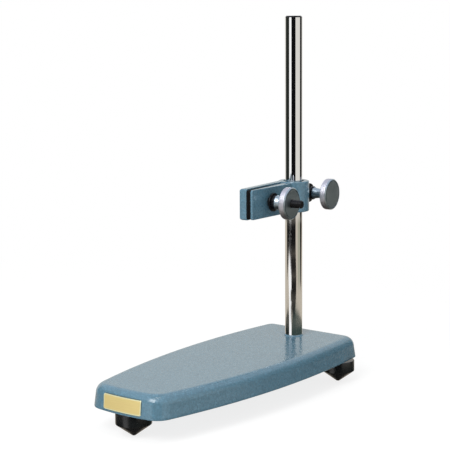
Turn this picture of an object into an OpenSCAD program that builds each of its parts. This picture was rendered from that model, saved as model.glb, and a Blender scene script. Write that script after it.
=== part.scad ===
// Micrometer stand: cast base on three pointed feet, round column, and a
// pinch clamp whose two padded jaws hold the frame of a large micrometer.
// Millimetres. Origin on the floor under the middle of the whole stand, +Z up,
// the narrow front end of the base towards -Y.

/* [Base casting] */
// Length of the base, front to rear
base_length = 274; // [240:1:320]
// Width of the base at its widest
base_width = 116; // [104:0.5:130]
// Height of the casting, underside to top
base_height = 19.9; // [18:0.1:26]
// Radius of the long bowed sides in plan
side_bow = 685; // [600:5:1200]
// Distance of the widest place from the front end
widest_from_front = 171.5; // [150:0.5:200]
// Plan radius of the two front corners
front_corner = 22; // [16:0.5:24]
// Plan radius of the two rear corners
rear_corner = 13; // [9:0.5:17]
// Radius of the rounding round the top edge
edge_round = 8; // [5:0.5:12]
// Moulding draft of the side walls, degrees
wall_draft = 4.2; // [1:0.1:6]
// Thickness of the side walls
base_wall = 6; // [4:0.5:8]
// Thickness of the top wall
top_wall = 6; // [4.5:0.5:7]
// Thickness of the ribs under the top
rib_thick = 4; // [3:0.5:6]

/* [Feet] */
// Diameter of each foot
foot_d = 30.4; // [26:0.2:32]
// Height of the whole foot, point to top
foot_height = 20; // [16:0.5:24]
// Height of the pointed part
foot_point = 10; // [8:0.5:12]
// Distance of the front foot's centre from the front end
front_foot_setback = 15.2; // [15:0.2:24]
// Distance of the rear feet's centres from the rear end
rear_foot_setback = 20.6; // [17:0.2:24]
// Distance of the rear feet's centres inside the widest sides
rear_foot_inset = 16; // [16:0.5:23.5]
// Diameter of the studs that hold the feet
foot_stud_d = 6; // [5:0.5:8]

/* [Column] */
// Diameter of the column
column_d = 16; // [14:0.5:18]
// Height of the column above the top of the base
column_rise = 297.3; // [260:0.1:360]
// Distance of the column from the rear end
column_setback = 32.4; // [30:0.1:44]
// Diameter of the bolt under the column
column_bolt_d = 8; // [6:0.5:9]

/* [Clamp body] */
// Height of the clamp's middle above the floor
clamp_height = 171.6; // [120:0.2:240]
// Swing of the clamp round the column, degrees
clamp_turn = 5.3; // [-30:0.1:30]
// Outer diameter of the round boss
boss_d = 28.6; // [27:0.2:33]
// Height of the round boss
boss_height = 28.2; // [24:0.1:34]
// Wall of the split bush in the boss
bush_wall = 1.5; // [1:0.1:2]
// Reach of the jaws, column axis to jaw tip
jaw_reach = 74.3; // [68:0.1:90]
// Height of the moving jaw
jaw_height = 26.8; // [22:0.2:28]
// Thickness of the fixed jaw
fixed_jaw_thick = 7.1; // [6:0.1:8]
// Distance of the fixed jaw's back from the column axis
fixed_jaw_back = 12.8; // [12:0.1:13.4]
// Radius of the jaws' outer corners
jaw_corner = 2; // [0.8:0.1:3]
// Radius of the fixed jaw's two long outer edges
jaw_edge = 2.2; // [0.8:0.1:3]
// Distance of the pinch screw behind the column
pinch_offset = 24.4; // [23.6:0.1:28]
// Radius of the rounded ends of the two pinch lugs
lug_r = 9; // [8.9:0.1:10]
// Height of the lugs where they leave the boss
lug_root = 24; // [20:0.5:26]
// Width of the slit between the lugs
slit = 1.8; // [1.2:0.1:2.4]
// Distance of the near lug's outer face from the column axis
lug_face = 2.2; // [1.4:0.1:3.6]

/* [Moving jaw] */
// Thickness of each jaw pad
pad_thick = 2; // [1.5:0.05:2.5]
// Distance the jaw pads run on past the jaw screw
pad_past_screw = 11; // [7:0.2:14]
// Thickness of the moving jaw at its tip
jaw_tip_thick = 2.2; // [1.8:0.1:3]
// Thickness of the moving jaw at its inner end
jaw_root_thick = 7.6; // [6.5:0.1:8.5]
// Distance of the jaw washer's seat from the column axis
jaw_seat = 5.6; // [4.6:0.1:6.4]
// Distance of the jaw screw from the column axis
jaw_screw_offset = 47.2; // [45:0.1:49]
// Diameter of the two guide pins
guide_pin_d = 4; // [3:0.2:5]
// Distance of the guide pins from the round boss
guide_pin_gap = 10.6; // [7.6:0.2:11.6]
// Height between the guide pins
guide_pin_spread = 15; // [12:0.5:18]

/* [Knobs and screws] */
// Diameter of both knobs
knob_d = 29; // [26:0.2:31]
// Thickness of the knob disc
knob_disc = 6.2; // [5:0.1:8]
// Diameter of the jaw knob's neck
jaw_neck_d = 13; // [12:0.1:14]
// Length of the jaw knob's neck
jaw_neck = 9.6; // [8:0.1:14]
// Diameter of the pinch knob's neck
pinch_neck_d = 10.6; // [10:0.1:12]
// Length of the pinch knob's neck
pinch_neck = 13.8; // [9:0.1:16]
// Diameter of the jaw screw
jaw_screw_d = 7.4; // [6:0.1:8]
// Length of jaw screw left standing out of its knob
jaw_screw_end = 10; // [8:0.5:16]
// Diameter of the pinch screw
pinch_screw_d = 6; // [5:0.1:6.4]
// Diameter of the jaw washer
jaw_washer_d = 15.6; // [14.6:0.1:17.6]
// Diameter of the pinch washer
pinch_washer_d = 17.6; // [14:0.1:17.8]
// Thickness of the washers
washer_thick = 1.4; // [1:0.1:2]
// Diameter of the black collar under the jaw knob
jaw_collar_d = 13; // [11.6:0.1:14]
// Length of the collar under the jaw knob
jaw_collar = 3; // [2:0.1:4]
// Diameter of the black collar under the pinch knob
pinch_collar_d = 12.4; // [10:0.1:13.4]
// Length of the collar under the pinch knob
pinch_collar = 4.2; // [3:0.1:5]

/* [Name plate] */
// Length of the blank plate
plate_length = 40.5; // [30:0.5:50]
// Height of the blank plate
plate_height = 13.1; // [8:0.1:13.4]
// Height of the blank plate's lower edge above the underside of the base
plate_lift = 2.2; // [1.2:0.1:3]
// Thickness of the blank plate
plate_thick = 0.5; // [0.3:0.05:1]

/* [Hidden] */
$fn = 64;
// Clearances
running_fit = 0.05;
screw_fit = 0.05;
loose_fit = 0.2;
// Small edges
bevel = 1;
least_round = 0.4;
chamfer = 0.6;
over = 1;
// Knob details
waist_depth = 0.8;
waist_margin = 1;
knob_chamfer = 0.9;
back_chamfer = 0.5;
groove_inset = 1.4;
groove_r = knob_d / 2 - groove_inset;
groove_width = 0.6;
groove_depth = 0.5;
// Washer and collar under each knob
jaw_stack = washer_thick + jaw_collar;
pinch_stack = washer_thick + pinch_collar;
seat_margin = 0.4;
seat_flare = 2;
seat_r = jaw_washer_d / 2 - seat_margin;
spot_r = jaw_washer_d / 2 + seat_margin;
pinch_knob_end = lug_face + pinch_stack + pinch_neck + knob_disc;
// Both ends of the base; the pinch knob may stand out past the rear end
knob_reach = (pinch_offset + knob_d / 2) * cos(clamp_turn) + (pinch_knob_end - knob_chamfer) * sin(clamp_turn);
knob_overhang = max(0, knob_reach - column_setback);
wall_rise = base_height - edge_round;
wall_lean = tan(wall_draft) * wall_rise;
plate_proud = plate_thick - wall_lean * (plate_lift - bevel) / (wall_rise - bevel);
front_y = -(base_length + knob_overhang - plate_proud) / 2;
rear_y = front_y + base_length;
column_y = rear_y - column_setback;
// Base outline
widest_y = front_y + widest_from_front;
bow_x = base_width / 2 - side_bow;
corner_steps = 7;
side_steps = 16;
edge_steps = 8;
// Base levels
underside = foot_height;
base_top = underside + base_height;
ceiling = base_top - top_wall;
wall_top = underside + wall_rise;
// Underside of the base
rib_gap = 4;
cavity_round = 4;
cavity_mid = cavity_round * 0.3;
rib_y = [front_y + base_length / 3, widest_y];
column_boss_wall = 10;
column_boss_r = column_d / 2 + column_boss_wall;
column_boss_lift = 7.5;
column_boss_bottom = underside + column_boss_lift;
column_seat_floor = 3;
column_seat = column_boss_bottom + column_seat_floor;
foot_boss_r = 10;
rear_foot_x = base_width / 2 - rear_foot_inset;
foot_places = [
    [0, front_y + front_foot_setback],
    [-rear_foot_x, rear_y - rear_foot_setback],
    [rear_foot_x, rear_y - rear_foot_setback]
];
// Feet
foot_tip_r = 1.5;
foot_plate_r = 7;
foot_plate_z = 11;
foot_plate_thick = 1.5;
foot_stud_bottom = 9;
foot_stud_grip = 11;
// Column
column_top = base_top + column_rise;
foot_ring_wall = 1.4;
foot_ring_r = column_d / 2 + foot_ring_wall;
foot_ring_rise = 0.8;
bolt_grip = 18;
bolt_head = 5.2;
bolt_head_r = column_bolt_d * 0.93;
column_washer_r = column_bolt_d * 1.4;
column_washer_thick = 2;
// Clamp, seen along its own axes from the column axis
fixed_jaw_height = max(boss_height, jaw_height);
bush_r = column_d / 2 + running_fit + bush_wall;
bush_recess = 1;
boss_bore_r = bush_r + running_fit;
fixed_jaw_face = -fixed_jaw_back + fixed_jaw_thick;
pad_gap = 0.2;
moving_jaw_face = fixed_jaw_face + 2 * pad_thick + pad_gap;
moving_jaw_gap = 0.6;
moving_jaw_end = boss_d / 2 + moving_jaw_gap;
jaw_outer_tip = moving_jaw_face + jaw_tip_thick;
jaw_outer_root = moving_jaw_face + jaw_root_thick;
slit_start = fixed_jaw_face;
// Screws and pins
screw_head_depth = 2.8;
screw_head_r = jaw_screw_d / 2 + screw_head_depth;
driver_slot = 1.6;
guide_pin_offset = boss_d / 2 + guide_pin_gap;
guide_pin_back = 2.5;
guide_pin_depth = jaw_root_thick * 0.7;
guide_pin_front = moving_jaw_face + guide_pin_depth;
pinch_screw_sink = 0.5;
pinch_screw_start = -fixed_jaw_back + pinch_screw_sink;
pinch_screw_grip = 10;
// Colours
paint = [0.38, 0.50, 0.58];
chrome = [0.82, 0.83, 0.84];
steel = [0.62, 0.63, 0.65];
aluminium = [0.68, 0.69, 0.72];
black = [0.10, 0.10, 0.11];
rubber = [0.07, 0.07, 0.08];
bronze = [0.72, 0.56, 0.32];
gold = [0.88, 0.78, 0.48];

// Points on a round arc, both ends included
function arc(x, y, r, from, to, steps) =
    [for (i = [0:steps]) let (a = from + (to - from) * i / steps) [x + r * cos(a), y + r * sin(a)]];

// Same arc without its two end points
function inner_arc(x, y, r, from, to, steps) =
    [for (i = [1:steps - 1]) let (a = from + (to - from) * i / steps) [x + r * cos(a), y + r * sin(a)]];

// Right half of the base outline, drawn in by d: front corner, bowed side, rear corner
function half_outline(d) =
    let (
        bow = side_bow - d,
        rf = max(front_corner - d, least_round),
        rr = max(rear_corner - d, least_round),
        fy = front_y + d + rf,
        ry = rear_y - d - rr,
        fa = asin((fy - widest_y) / (bow - rf)),
        ra = asin((ry - widest_y) / (bow - rr))
    )
    concat(
        arc(bow_x + (bow - rf) * cos(fa), fy, rf, -90, fa, corner_steps),
        inner_arc(bow_x, widest_y, bow, fa, ra, side_steps),
        arc(bow_x + (bow - rr) * cos(ra), ry, rr, ra, 90, corner_steps)
    );

// Whole base outline, anticlockwise seen from above
function outline(d) =
    let (right = half_outline(d), last = len(right) - 1)
    concat(right, [for (i = [last:-1:0]) [-right[i][0], right[i][1]]]);

// Solid through rings of the base outline; each ring is [drawn in by, height]
module loft(rings) {
    loops = [for (ring = rings) [for (p = outline(ring[0])) [p[0], p[1], ring[1]]]];
    n = len(loops[0]);
    last = len(rings) - 1;
    sides = [
        for (k = [0:last - 1]) for (i = [0:n - 1])
            let (j = (i + 1) % n) [k * n + i, (k + 1) * n + i, (k + 1) * n + j, k * n + j]
    ];
    floor_face = [for (i = [0:n - 1]) i];
    top_face = [for (i = [n - 1:-1:0]) last * n + i];
    polyhedron([for (loop = loops) each loop], concat([floor_face], sides, [top_face]));
}

// Outer form of the base, grown outwards by a skin
module base_form(skin = 0) {
    loft(concat(
        [[bevel - skin, underside], [-skin, underside + bevel]],
        [
            for (i = [0:edge_steps])
                let (a = 90 * i / edge_steps)
                    [wall_lean + edge_round * (1 - cos(a)) - skin, wall_top + edge_round * sin(a)]
        ]
    ));
}

// Hollow under the base, with its own rounded ceiling
module cavity() {
    lean = tan(wall_draft) * (ceiling - underside);
    loft([
        [base_wall, underside - over],
        [base_wall + lean, ceiling - cavity_round],
        [base_wall + lean + cavity_mid, ceiling - cavity_mid],
        [base_wall + lean + cavity_round, ceiling]
    ]);
}

// Ribs and bosses that stand in the hollow
module underside_frame() {
    rib_bottom = underside + rib_gap;
    translate([-rib_thick / 2, front_y, rib_bottom])
        cube([rib_thick, base_length, base_top - rib_bottom - over]);
    for (y = rib_y)
        translate([-base_width / 2, y - rib_thick / 2, rib_bottom])
            cube([base_width, rib_thick, base_top - rib_bottom - over]);
    translate([0, column_y, column_boss_bottom])
        cylinder(r = column_boss_r, h = base_top - column_boss_bottom - over);
    for (p = foot_places)
        translate([p[0], p[1], underside])
            cylinder(r = foot_boss_r, h = base_height - over);
}

module base_casting() {
    color(paint)
    difference() {
        union() {
            difference() {
                base_form();
                difference() {
                    cavity();
                    underside_frame();
                }
            }
            translate([0, column_y, base_top - over])
                cylinder(r = foot_ring_r, h = foot_ring_rise + over);
        }
        translate([0, column_y, column_seat])
            cylinder(r = column_d / 2 + screw_fit, h = base_height + over);
        translate([0, column_y, underside])
            cylinder(r = column_bolt_d / 2 + loose_fit, h = base_height);
        translate([0, column_y, 0])
            cylinder(r = column_washer_r + bevel, h = column_boss_bottom);
        for (p = foot_places)
            translate([p[0], p[1], underside - over])
                cylinder(r = foot_stud_d / 2 + screw_fit, h = foot_stud_grip + over + bevel);
    }
}

// Blank plate that follows the front wall of the base
module name_plate() {
    corner = plate_height / 8;
    color(gold)
    difference() {
        intersection() {
            base_form(plate_thick);
            translate([0, front_y + base_wall, underside + plate_lift + plate_height / 2])
                rotate([90, 0, 0])
                    linear_extrude(2 * base_wall)
                        rounded(plate_length, plate_height, corner);
        }
        base_form();
    }
}

module column() {
    color(chrome)
    difference() {
        union() {
            translate([0, column_y, column_seat])
                cylinder(d = column_d, h = column_top - column_seat - chamfer);
            translate([0, column_y, column_top - chamfer])
                cylinder(r1 = column_d / 2, r2 = column_d / 2 - chamfer, h = chamfer);
        }
        translate([0, column_y, column_seat - over])
            cylinder(d = column_bolt_d + 2 * screw_fit, h = bolt_grip + over + bevel);
    }
}

module column_bolt() {
    head_top = column_boss_bottom - column_washer_thick;
    color(steel)
    translate([0, column_y, 0]) {
        translate([0, 0, head_top - bolt_head])
            cylinder(r = bolt_head_r, h = bolt_head, $fn = 6);
        translate([0, 0, head_top - over])
            cylinder(d = column_bolt_d, h = column_seat + bolt_grip - head_top + over);
    }
}

module column_washer() {
    color(steel)
    translate([0, column_y, column_boss_bottom - column_washer_thick])
        tube(column_washer_r, column_bolt_d / 2 + loose_fit, column_washer_thick);
}

// One foot, a short cylinder ending in a blunt point, moulded round the plate of its stud
module foot(place) {
    color(rubber)
    translate([place[0], place[1], 0])
        difference() {
            union() {
                cylinder(r1 = foot_tip_r, r2 = foot_d / 2, h = foot_point);
                translate([0, 0, foot_point])
                    cylinder(d = foot_d, h = foot_height - foot_point);
            }
            translate([0, 0, foot_stud_bottom - screw_fit])
                cylinder(d = foot_stud_d + 2 * screw_fit, h = foot_height);
            translate([0, 0, foot_plate_z - screw_fit])
                cylinder(r = foot_plate_r + screw_fit, h = foot_plate_thick + 2 * screw_fit);
        }
}

module front_foot() {
    foot(foot_places[0]);
}

module left_rear_foot() {
    foot(foot_places[1]);
}

module right_rear_foot() {
    foot(foot_places[2]);
}

module foot_studs() {
    color(steel)
    for (p = foot_places)
        translate([p[0], p[1], 0]) {
            translate([0, 0, foot_stud_bottom])
                cylinder(d = foot_stud_d, h = underside + foot_stud_grip - foot_stud_bottom);
            translate([0, 0, foot_plate_z])
                cylinder(r = foot_plate_r, h = foot_plate_thick);
        }
}

// Places children in the clamp's own axes, with its middle on the column axis
module at_clamp() {
    translate([0, column_y, clamp_height])
        rotate([0, 0, clamp_turn])
            children();
}

// Places a round part with its axis across the jaws; x is where it starts
module across(x, y, z = 0) {
    translate([x, y, z])
        rotate([0, 90, 0])
            children();
}

// Plate that stands across X from x0 to x1, its outline drawn in Y and Z
module upright_plate(x0, x1) {
    translate([x0, 0, 0])
        rotate([90, 0, 90])
            linear_extrude(x1 - x0)
                children();
}

module rounded(w, h, r) {
    square([w - 2 * r, h], center = true);
    square([w, h - 2 * r], center = true);
    for (x = [-1, 1]) for (y = [-1, 1])
        translate([x * (w / 2 - r), y * (h / 2 - r)])
            circle(r);
}

module tube(outer_r, inner_r, h) {
    difference() {
        cylinder(r = outer_r, h = h);
        translate([0, 0, -over])
            cylinder(r = inner_r, h = h + 2 * over);
    }
}

// Outline of a jaw, from its tip to a place nearer the column
module jaw_outline(end_y, h) {
    length = jaw_reach + end_y;
    translate([end_y - length / 2, 0])
        rounded(length, h, jaw_corner);
}

// Outline of a pinch lug, its edges tangent to the round end
module lug_outline() {
    half = lug_root / 2;
    reach = norm([pinch_offset, half]);
    a = atan2(half, -pinch_offset) - acos(lug_r / reach);
    touch = [pinch_offset + lug_r * cos(a), lug_r * sin(a)];
    polygon([[0, -half], [touch[0], -touch[1]], [touch[0], touch[1]], [0, half]]);
    translate([pinch_offset, 0])
        circle(lug_r);
}

module clamp_bush() {
    height = boss_height - 2 * bush_recess;
    color(bronze)
    at_clamp()
        difference() {
            translate([0, 0, -height / 2])
                tube(bush_r, column_d / 2 + running_fit, height);
            translate([slit_start, 0, -height])
                cube([slit, boss_d, 2 * height]);
        }
}

module clamp_body() {
    color(paint)
    at_clamp()
        difference() {
            union() {
                boss();
                fixed_jaw();
                upright_plate(-fixed_jaw_back, lug_face)
                    lug_outline();
            }
            translate([0, 0, -boss_height])
                cylinder(r = boss_bore_r, h = 2 * boss_height);
            translate([slit_start, 0, -boss_height])
                cube([slit, 2 * pinch_offset, 2 * boss_height]);
            across(-boss_d, pinch_offset)
                cylinder(d = pinch_screw_d + 2 * screw_fit, h = boss_d + slit_start + bevel);
            across(slit_start + bevel, pinch_offset)
                cylinder(r = pinch_screw_d / 2 + loose_fit, h = boss_d);
            across(-boss_d, -jaw_screw_offset)
                cylinder(d = jaw_screw_d + 2 * screw_fit, h = 2 * boss_d);
            across(-fixed_jaw_back - over, -jaw_screw_offset)
                cylinder(r = screw_head_r + screw_fit, h = over);
            across(-fixed_jaw_back, -jaw_screw_offset)
                cylinder(
                    r1 = screw_head_r + screw_fit, r2 = jaw_screw_d / 2 + screw_fit,
                    h = screw_head_depth
                );
            for (side = [-1, 1])
                across(-boss_d, -guide_pin_offset, side * guide_pin_spread / 2)
                    cylinder(d = guide_pin_d + 2 * running_fit, h = 2 * boss_d);
        }
}

// Fixed jaw, its two long outer edges rounded
module fixed_jaw() {
    section = 2 * fixed_jaw_thick;
    intersection() {
        upright_plate(-fixed_jaw_back, fixed_jaw_face)
            jaw_outline(0, fixed_jaw_height);
        translate([-fixed_jaw_back + section / 2, over, 0])
            rotate([90, 0, 0])
                linear_extrude(jaw_reach + 2 * over)
                    rounded(section, fixed_jaw_height, jaw_edge);
    }
}

// Round boss with its two edges broken
module boss() {
    edge = boss_d / 2 - chamfer;
    translate([0, 0, -boss_height / 2]) {
        cylinder(r1 = edge, r2 = boss_d / 2, h = chamfer);
        translate([0, 0, chamfer])
            cylinder(d = boss_d, h = boss_height - 2 * chamfer);
        translate([0, 0, boss_height - chamfer])
            cylinder(r1 = boss_d / 2, r2 = edge, h = chamfer);
    }
}

// Pad with a hole for the jaw screw, starting at x
module pad(x) {
    color(rubber)
    at_clamp()
        difference() {
            upright_plate(x, x + pad_thick)
                jaw_outline(pad_past_screw - jaw_screw_offset, jaw_height - bevel);
            across(x - over, -jaw_screw_offset)
                cylinder(r = jaw_screw_d / 2 + 2 * loose_fit, h = pad_thick + 2 * over);
        }
}

module fixed_jaw_pad() {
    pad(fixed_jaw_face);
}

module moving_jaw_pad() {
    pad(moving_jaw_face - pad_thick);
}

// Jaw screw with a countersunk, slotted head let into the back of the fixed jaw
module jaw_screw() {
    length = fixed_jaw_back + jaw_seat + jaw_stack + jaw_neck + knob_disc + jaw_screw_end;
    color(black)
    at_clamp()
        difference() {
            union() {
                across(-fixed_jaw_back, -jaw_screw_offset)
                    cylinder(r1 = screw_head_r, r2 = jaw_screw_d / 2, h = screw_head_depth);
                across(-fixed_jaw_back, -jaw_screw_offset)
                    cylinder(d = jaw_screw_d, h = length - chamfer);
                across(-fixed_jaw_back + length - chamfer, -jaw_screw_offset)
                    cylinder(r1 = jaw_screw_d / 2, r2 = jaw_screw_d / 2 - chamfer, h = chamfer);
            }
            translate([-fixed_jaw_back - over, -jaw_screw_offset - driver_slot / 2, -boss_height])
                cube([screw_head_depth / 2 + over, driver_slot, 2 * boss_height]);
        }
}

// Wedge-shaped jaw, thin at the tip, with a raised round seat for the washer
module moving_jaw() {
    color(paint)
    at_clamp()
        difference() {
            union() {
                jaw_wedge();
                across(jaw_outer_tip, -jaw_screw_offset)
                    cylinder(r1 = seat_r + seat_flare, r2 = seat_r, h = jaw_seat - jaw_outer_tip);
            }
            across(jaw_seat, -jaw_screw_offset)
                cylinder(r = spot_r, h = boss_d);
            across(-boss_d, -jaw_screw_offset)
                cylinder(r = jaw_screw_d / 2 + loose_fit, h = 2 * boss_d);
            for (side = [-1, 1])
                across(-boss_d, -guide_pin_offset, side * guide_pin_spread / 2)
                    cylinder(d = guide_pin_d + 2 * screw_fit, h = boss_d + guide_pin_front);
        }
}

module jaw_wedge() {
    intersection() {
        translate([0, 0, -jaw_height])
            linear_extrude(2 * jaw_height)
                polygon([
                    [moving_jaw_face, -jaw_reach],
                    [jaw_outer_tip, -jaw_reach],
                    [jaw_outer_root, -moving_jaw_end],
                    [moving_jaw_face, -moving_jaw_end]
                ]);
        upright_plate(-boss_d, boss_d)
            jaw_outline(-moving_jaw_end, jaw_height);
    }
}

// Pins fixed in the moving jaw that slide through the fixed jaw
module guide_pins() {
    start = -fixed_jaw_back - guide_pin_back;
    color(steel)
    at_clamp()
        for (side = [-1, 1]) {
            across(start + chamfer, -guide_pin_offset, side * guide_pin_spread / 2)
                cylinder(d = guide_pin_d, h = guide_pin_front - start - chamfer);
            across(start, -guide_pin_offset, side * guide_pin_spread / 2)
                cylinder(r1 = guide_pin_d / 2 - chamfer, r2 = guide_pin_d / 2, h = chamfer);
        }
}

// Ring on the screw at y, from x on
module screw_ring(x, y, outer_d, screw_d, length) {
    color(black)
    at_clamp()
        across(x, y)
            tube(outer_d / 2, screw_d / 2 + loose_fit, length);
}

module jaw_washer() {
    screw_ring(jaw_seat, -jaw_screw_offset, jaw_washer_d, jaw_screw_d, washer_thick);
}

module jaw_collar() {
    screw_ring(jaw_seat + washer_thick, -jaw_screw_offset, jaw_collar_d, jaw_screw_d, jaw_collar);
}

module pinch_washer() {
    screw_ring(lug_face, pinch_offset, pinch_washer_d, pinch_screw_d, washer_thick);
}

module pinch_collar() {
    screw_ring(lug_face + washer_thick, pinch_offset, pinch_collar_d, pinch_screw_d, pinch_collar);
}

// Turned knob: waisted neck, disc with broken edges and a groove round its face
module knob_form(neck_d, neck) {
    half = neck / 2 - waist_margin;
    waist_r = (half * half + waist_depth * waist_depth) / (2 * waist_depth);
    difference() {
        cylinder(d = neck_d, h = neck + over);
        translate([0, 0, neck / 2])
            rotate_extrude()
                translate([neck_d / 2 - waist_depth + waist_r, 0])
                    circle(waist_r, $fn = 128);
    }
    difference() {
        translate([0, 0, neck]) {
            cylinder(r1 = knob_d / 2 - back_chamfer, r2 = knob_d / 2, h = back_chamfer);
            translate([0, 0, back_chamfer])
                cylinder(d = knob_d, h = knob_disc - back_chamfer - knob_chamfer);
            translate([0, 0, knob_disc - knob_chamfer])
                cylinder(r1 = knob_d / 2, r2 = knob_d / 2 - knob_chamfer, h = knob_chamfer);
        }
        translate([0, 0, neck + knob_disc - groove_depth])
            tube(groove_r, groove_r - groove_width, groove_depth + over);
    }
}

module jaw_knob() {
    color(aluminium)
    at_clamp()
        across(jaw_seat + jaw_stack, -jaw_screw_offset)
            difference() {
                knob_form(jaw_neck_d, jaw_neck);
                translate([0, 0, -over])
                    cylinder(d = jaw_screw_d + 2 * running_fit, h = jaw_neck + knob_disc + 2 * over);
            }
}

module pinch_knob() {
    color(aluminium)
    at_clamp()
        across(lug_face + pinch_stack, pinch_offset)
            difference() {
                knob_form(pinch_neck_d, pinch_neck);
                translate([0, 0, -over])
                    cylinder(d = pinch_screw_d + 2 * screw_fit, h = pinch_screw_grip + over + screw_fit);
            }
}

// Screw fixed in the pinch knob; it threads into the far lug
module pinch_screw() {
    color(black)
    at_clamp()
        across(pinch_screw_start, pinch_offset)
            cylinder(d = pinch_screw_d, h = lug_face + pinch_stack + pinch_screw_grip - pinch_screw_start);
}

base_casting();
name_plate();
column();
column_bolt();
column_washer();
front_foot();
left_rear_foot();
right_rear_foot();
foot_studs();
clamp_bush();
clamp_body();
fixed_jaw_pad();
jaw_screw();
moving_jaw();
moving_jaw_pad();
guide_pins();
jaw_washer();
jaw_collar();
jaw_knob();
pinch_washer();
pinch_collar();
pinch_screw();
pinch_knob();
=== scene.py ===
"""Looks of the micrometer stand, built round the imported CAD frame. Lengths in millimetres unless said."""

import math

import bmesh
import bpy
from mathutils import Matrix, Vector


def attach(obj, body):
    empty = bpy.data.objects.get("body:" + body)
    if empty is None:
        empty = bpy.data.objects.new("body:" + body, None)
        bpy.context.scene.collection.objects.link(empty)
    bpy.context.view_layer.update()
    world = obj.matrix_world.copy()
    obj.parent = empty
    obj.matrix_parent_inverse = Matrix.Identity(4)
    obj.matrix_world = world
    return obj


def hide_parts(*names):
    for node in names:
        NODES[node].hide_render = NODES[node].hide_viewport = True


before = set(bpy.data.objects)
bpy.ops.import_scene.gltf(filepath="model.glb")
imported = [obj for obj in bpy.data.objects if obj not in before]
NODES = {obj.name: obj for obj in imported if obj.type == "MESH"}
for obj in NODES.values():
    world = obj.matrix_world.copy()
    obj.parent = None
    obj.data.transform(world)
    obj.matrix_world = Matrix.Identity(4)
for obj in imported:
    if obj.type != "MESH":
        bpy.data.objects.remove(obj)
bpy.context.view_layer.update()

MM = 0.001

# Sizes of the CAD source. The feet are a hair smaller here, and so are the base's width, the column's height
# and the second knob, to stay inside the CAD box.
FRONT_Y, REAR_Y, COLUMN_Y = -141.207, 132.793, 100.393
BASE_WIDTH, SIDE_BOW, WIDEST_Y = 115.98, 685.0, 30.293
UNDERSIDE, BASE_TOP, CEILING, EDGE_ROUND = 20.0, 39.9, 33.9, 8.0
BASE_WALL, DRAFT = 6.0, math.tan(math.radians(4.2))
WALL_TOP = BASE_TOP - EDGE_ROUND
RIB_HALF, RIB_LOW, RIB_HIGH = 2.0, 24.0, 36.0
RIBS = ((-49.874, 8.5), (WIDEST_Y, 5.0))
BOSS_BOTTOM, BOSS_R = 27.5, 18.0
BOLT_BORE_R, BOLT_HEAD_R, STUD_BORE_R = 4.2, 12.2, 3.05
COLUMN_R, COLUMN_SEAT, COLUMN_TOP = 8.0, 30.5, 337.19
FEET = {"front_foot": (0, -126.007), "left_rear_foot": (-42, 112.193), "right_rear_foot": (42, 112.193)}
FOOT_R, FOOT_POINT, FOOT_BORE_TOP = 15.1, 10, 9
CLAMP_TURN, CLAMP_Z = 5.3, 171.6
JAW_REACH, JAW_HEIGHT, PAD_END = 74.3, 26.8, 36.2
FIXED_BACK, FIXED_FACE, MOVING_FACE, PAD_THICK = -12.8, -5.7, -1.5, 2.0
JAW_SCREW_Y, JAW_SCREW_R, PINCH_Y, PINCH_SCREW_R = -47.2, 3.7, 24.4, 3.0
JAW_SEAT, LUG_FACE = 5.6, 2.2
WASHER, JAW_COLLAR, PINCH_COLLAR = 1.4, 3.0, 4.2
JAW_NECK_R, JAW_NECK, PINCH_NECK_R, PINCH_NECK = 6.5, 9.6, 5.3, 13.8
KNOB_R, KNOB_DISC, SCREW_END = 14.5, 6.2, 10.0
PLATE_LENGTH, PLATE_HEIGHT, PLATE_THICK, PLATE_LIFT = 40.5, 13.1, 0.5, 2.2
PLATE_MID = UNDERSIDE + PLATE_LIFT + PLATE_HEIGHT / 2
COLUMN_PLAY, THREAD_PLAY = 0.05, 0.05
JAW_COLLAR_R, JAW_RING_BORE = 6.5, 3.9
PINCH_WASHER_R, PINCH_COLLAR_R, PINCH_RING_BORE = 8.8, 6.2, 3.2
PINCH_KNOB_R = KNOB_R - 0.09

# Forms that differ from the CAD source: the base has a slightly bowed front, corners that grow with height
# and slimmer bosses over the feet, the jaw washer is wider, the chamfer on top of the column is wider, and
# the collar of the jaw knob leaves it some slack.
FRONT_LINE, FRONT_BOW = -141.15, 178.0
FRONT_CORNER, REAR_CORNER, CORNER_GROWTH, LEAST_CORNER = 15.2, 7.0, 0.26, 0.4
FOOT_BOSS_R, JAW_WASHER_R, COLUMN_CHAMFER, COLLAR_SLACK = 9.0, 8.4, 1.4, 0.04

# Voxels, in millimetres, that the painted castings are rebuilt from, and how often they are smoothed
CASTING_VOXEL, JAW_VOXEL, SMOOTHINGS = 0.34, 0.3, 4

CLAMP = Matrix.Translation((0, COLUMN_Y * MM, CLAMP_Z * MM))
CLAMP = CLAMP @ Matrix.Rotation(math.radians(CLAMP_TURN), 4, "Z")


def upright(x, y):
    """Frame of a piece whose axis stands on the point x, y."""
    return Matrix.Translation((x * MM, y * MM, 0))


def on_circle(r, turn):
    return r * math.cos(turn), r * math.sin(turn)


def across(x, y):
    """Frame of a round part whose axis runs across the jaws, starting at x."""
    return CLAMP @ Matrix.Translation((x * MM, y * MM, 0)) @ Matrix.Rotation(math.radians(90), 4, "Y")


# Geometry


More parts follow.
